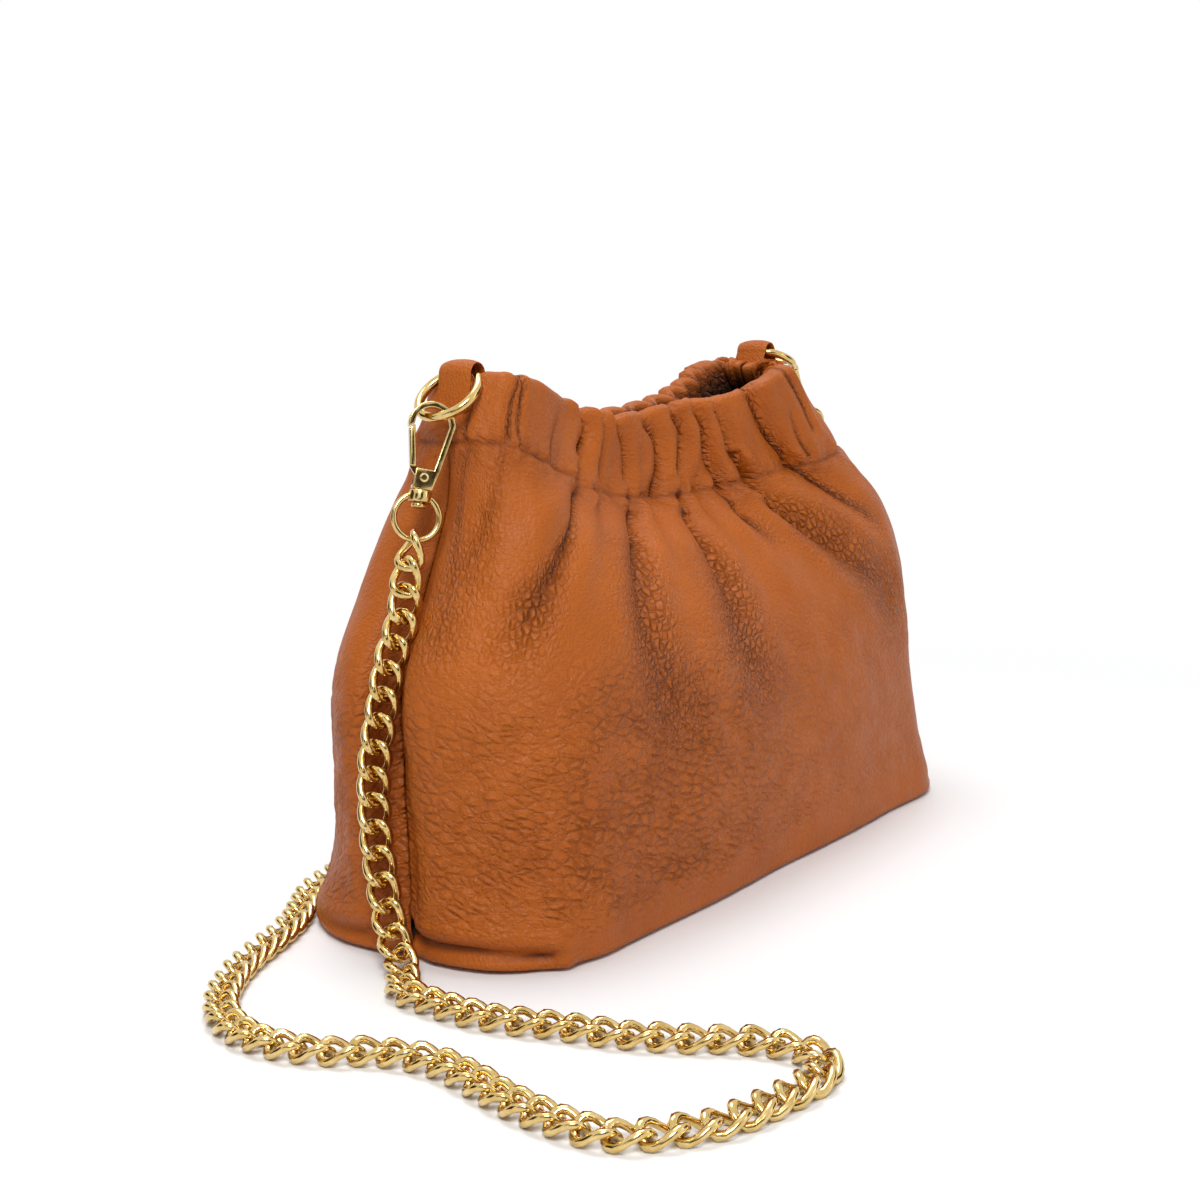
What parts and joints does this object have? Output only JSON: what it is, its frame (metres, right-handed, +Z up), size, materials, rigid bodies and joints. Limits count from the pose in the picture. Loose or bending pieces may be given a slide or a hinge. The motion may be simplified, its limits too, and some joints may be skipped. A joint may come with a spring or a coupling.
{
  "type": "leather pouch bag",
  "caption": "Small soft leather pouch with a gathered elastic mouth, leather tabs with rings, and a gold curb-chain strap on swivelling trigger clips.",
  "frame": {"origin": "on the surface that the pouch stands on, under the middle of the pouch", "axes": "+X along the pouch towards the end away from the loose chain, -Y its front, +Z up"},
  "size_m": [0.347, 0.2288, 0.1672],
  "materials": {
    "front_panel": "pebbled tan leather",
    "back_panel": "pebbled tan leather",
    "front_lining": "woven lining cloth",
    "back_lining": "woven lining cloth",
    "elastic_band": "woven elastic",
    "front_magnet": "plain steel",
    "back_magnet": "plain steel",
    "front_magnet_washer": "plain steel",
    "back_magnet_washer": "plain steel",
    "left_tab": "pebbled tan leather",
    "right_tab": "pebbled tan leather",
    "chain_left_drop": "polished pale gold plating",
    "chain_floor": "polished pale gold plating",
    "chain_back": "polished pale gold plating",
    "chain_right_drop": "polished pale gold plating",
    "left_o_ring": "polished pale gold plating",
    "left_hook": "polished pale gold plating",
    "left_gate_rivet": "polished pale gold plating",
    "left_gate_spring": "plain steel",
    "left_gate": "polished pale gold plating",
    "left_swivel": "polished pale gold plating",
    "right_o_ring": "polished pale gold plating",
    "right_hook": "polished pale gold plating",
    "right_gate_rivet": "polished pale gold plating",
    "right_gate_spring": "plain steel",
    "right_gate": "polished pale gold plating",
    "right_swivel": "polished pale gold plating"
  },
  "bodies": {
    "pouch": {"front_panel": "front_panel", "back_panel": "back_panel", "front_lining": "front_lining", "back_lining": "back_lining", "elastic_band": "elastic_band", "front_magnet": "front_magnet", "back_magnet": "back_magnet", "front_magnet_washer": "front_magnet_washer", "back_magnet_washer": "back_magnet_washer", "left_tab": "left_tab", "right_tab": "right_tab", "chain_left_drop": "chain_left_drop", "chain_floor": "chain_floor", "chain_back": "chain_back", "chain_right_drop": "chain_right_drop"},
    "left_ring": {"left_o_ring": "left_o_ring"},
    "left_clip": {"left_hook": "left_hook", "left_gate_rivet": "left_gate_rivet", "left_gate_spring": "left_gate_spring"},
    "left_gate": {"left_gate": "left_gate"},
    "left_swivel": {"left_swivel": "left_swivel"},
    "right_ring": {"right_o_ring": "right_o_ring"},
    "right_clip": {"right_hook": "right_hook", "right_gate_rivet": "right_gate_rivet", "right_gate_spring": "right_gate_spring"},
    "right_gate": {"right_gate": "right_gate"},
    "right_swivel": {"right_swivel": "right_swivel"}
  },
  "joints": [
    {"name": "left_ring_swing", "type": "hinge", "parent": "pouch", "child": "left_ring", "pos_m": [-0.0905, 0, 0.163], "axis": [0, 1, 0], "range_deg": [0, 45], "deforming": ["chain_left_drop"]},
    {"name": "left_clip_pivot", "type": "hinge", "parent": "left_ring", "child": "left_clip", "pos_m": [-0.10415, 0, 0.15155], "axis": [0, 1, 0], "range_deg": [0, 40]},
    {"name": "left_gate_pivot", "type": "hinge", "parent": "left_clip", "child": "left_gate", "pos_m": [-0.10971, 0, 0.13491], "axis": [0.6096, 0.766, -0.204], "range_deg": [0, 25], "stiffness_Nm_per_rad": 0.005, "springref_deg": -20.05},
    {"name": "left_swivel_turn", "type": "hinge", "parent": "left_clip", "child": "left_swivel", "pos_m": [-0.1114, 0, 0.12988], "axis": [-0.3173, 0, -0.9483], "continuous": true},
    {"name": "right_ring_swing", "type": "hinge", "parent": "pouch", "child": "right_ring", "pos_m": [0.075, 0, 0.163], "axis": [0, -1, 0], "range_deg": [0, 45], "deforming": ["chain_right_drop"]},
    {"name": "right_clip_pivot", "type": "hinge", "parent": "right_ring", "child": "right_clip", "pos_m": [0.09127, 0, 0.15576], "axis": [0, -1, 0], "range_deg": [0, 40]},
    {"name": "right_gate_pivot", "type": "hinge", "parent": "right_clip", "child": "right_gate", "pos_m": [0.10324, 0, 0.14292], "axis": [-0.4701, -0.766, -0.4384], "range_deg": [0, 25], "stiffness_Nm_per_rad": 0.005, "springref_deg": -20.05},
    {"name": "right_swivel_turn", "type": "hinge", "parent": "right_clip", "child": "right_swivel", "pos_m": [0.10686, 0, 0.13904], "axis": [0.682, 0, -0.7314], "continuous": true}
  ]
}
